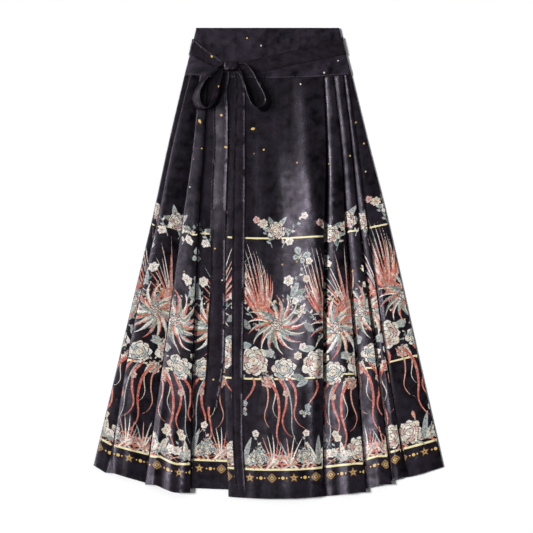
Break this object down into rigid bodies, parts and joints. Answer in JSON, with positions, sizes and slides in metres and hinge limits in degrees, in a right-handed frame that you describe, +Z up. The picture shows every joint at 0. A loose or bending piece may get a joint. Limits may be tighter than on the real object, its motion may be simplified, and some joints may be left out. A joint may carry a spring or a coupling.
{
  "type": "pleated wrap skirt laid flat",
  "caption": "Long pleated satin wrap skirt laid flat: wide waistband, flat front door, side pleats, waist ties in a bow.",
  "frame": {"origin": "middle of the skirt's outline, on the surface it lies on", "axes": "+X to the right as seen from above with the waist at the top, +Y towards the waist, +Z up from the surface, out of the skirt's front"},
  "size_m": [0.6998, 0.94, 0.0292],
  "materials": {
    "cloth": "dark plum-black satin, soft sheen",
    "printed_cloth": "dark plum-black satin with a printed lower part in cream, coral, grey-green and pale gold",
    "tie_cloth": "dark plum-black satin ribbon, a little lighter"
  },
  "bodies": {
    "root": {"waistband": "cloth", "outer_panel": "printed_cloth", "inner_panel": "printed_cloth", "back_panel": "printed_cloth", "tie_left": "tie_cloth", "tie_right": "tie_cloth", "knot": "tie_cloth", "bow_loop_left": "tie_cloth", "bow_loop_right": "tie_cloth", "tie_tail_short": "tie_cloth", "tie_tail_long": "tie_cloth"}
  },
  "joints": []
}
